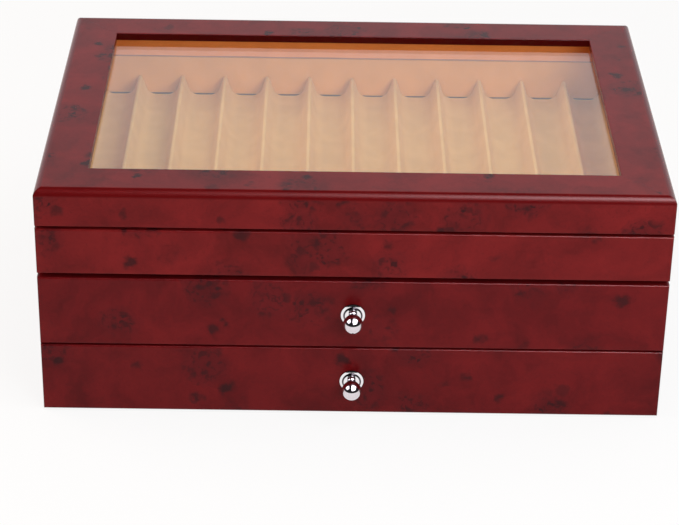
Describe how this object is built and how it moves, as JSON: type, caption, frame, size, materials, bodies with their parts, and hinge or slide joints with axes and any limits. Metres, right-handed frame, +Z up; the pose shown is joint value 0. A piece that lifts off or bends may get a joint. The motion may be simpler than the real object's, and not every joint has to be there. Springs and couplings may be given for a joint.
{
  "type": "pen collector chest",
  "caption": "Flat lacquered chest for fountain pens, with a hinged glass-topped lid over a channelled tray and two knobbed drawers with channelled trays.",
  "frame": {"origin": "middle of the rectangle that the chest covers, on the surface it stands on", "axes": "+X to the chest's right as seen from the front, -Y the front with the drawer knobs, +Z up"},
  "size_m": [0.34, 0.2581, 0.1364],
  "materials": {
    "burl_lacquer": "high gloss clear lacquer over dark red burl",
    "drawer_wood": "satin, stained dark red",
    "board": "satin, stained dark red",
    "lining": "tan flocking",
    "pen_tray": "tan flocking",
    "base_felt": "dark felt",
    "glass": "clear polished",
    "knob_chrome": "mirror polished",
    "hinge_metal": "nickel plated",
    "screws": "zinc plated",
    "bumper": "clear soft"
  },
  "bodies": {
    "cabinet": {"left_side": "burl_lacquer", "right_side": "burl_lacquer", "back_panel": "burl_lacquer", "tier_front": "burl_lacquer", "base_panel": "board", "drawer_divider": "board", "tier_floor": "board", "base_felt": "base_felt", "tier_lining_front": "lining", "tier_lining_back": "lining", "tier_lining_left": "lining", "tier_lining_right": "lining", "tier_pen_tray": "pen_tray", "lid_bumpers": "bumper", "hinge_base_leaves": "hinge_metal", "hinge_pins": "hinge_metal", "hinge_base_screws": "screws"},
    "lid": {"lid_front_rail": "burl_lacquer", "lid_right_rail": "burl_lacquer", "lid_back_rail": "burl_lacquer", "lid_left_rail": "burl_lacquer", "lid_glass": "glass", "lid_lining_front": "lining", "lid_lining_back": "lining", "lid_lining_left": "lining", "lid_lining_right": "lining", "hinge_lid_leaves": "hinge_metal", "hinge_lid_screws": "screws"},
    "lower_drawer": {"lower_drawer_front": "burl_lacquer", "lower_drawer_left_side": "drawer_wood", "lower_drawer_right_side": "drawer_wood", "lower_drawer_back": "drawer_wood", "lower_drawer_bottom": "drawer_wood", "lower_drawer_lining": "lining", "lower_drawer_pen_tray": "pen_tray", "lower_drawer_knob_plate": "knob_chrome", "lower_drawer_knob": "knob_chrome", "lower_drawer_knob_screw": "screws"},
    "upper_drawer": {"upper_drawer_front": "burl_lacquer", "upper_drawer_left_side": "drawer_wood", "upper_drawer_right_side": "drawer_wood", "upper_drawer_back": "drawer_wood", "upper_drawer_bottom": "drawer_wood", "upper_drawer_lining": "lining", "upper_drawer_pen_tray": "pen_tray", "upper_drawer_knob_plate": "knob_chrome", "upper_drawer_knob": "knob_chrome", "upper_drawer_knob_screw": "screws"}
  },
  "joints": [
    {"name": "lid_hinge", "type": "hinge", "parent": "cabinet", "child": "lid", "pos_m": [0, 0.1205, 0.1139], "axis": [-1, 0, 0], "range_deg": [0, 95]},
    {"name": "upper_drawer_slide", "type": "slide", "parent": "cabinet", "child": "upper_drawer", "axis": [0, -1, 0], "range_m": [0, 0.17]},
    {"name": "lower_drawer_slide", "type": "slide", "parent": "cabinet", "child": "lower_drawer", "axis": [0, -1, 0], "range_m": [0, 0.17]}
  ]
}
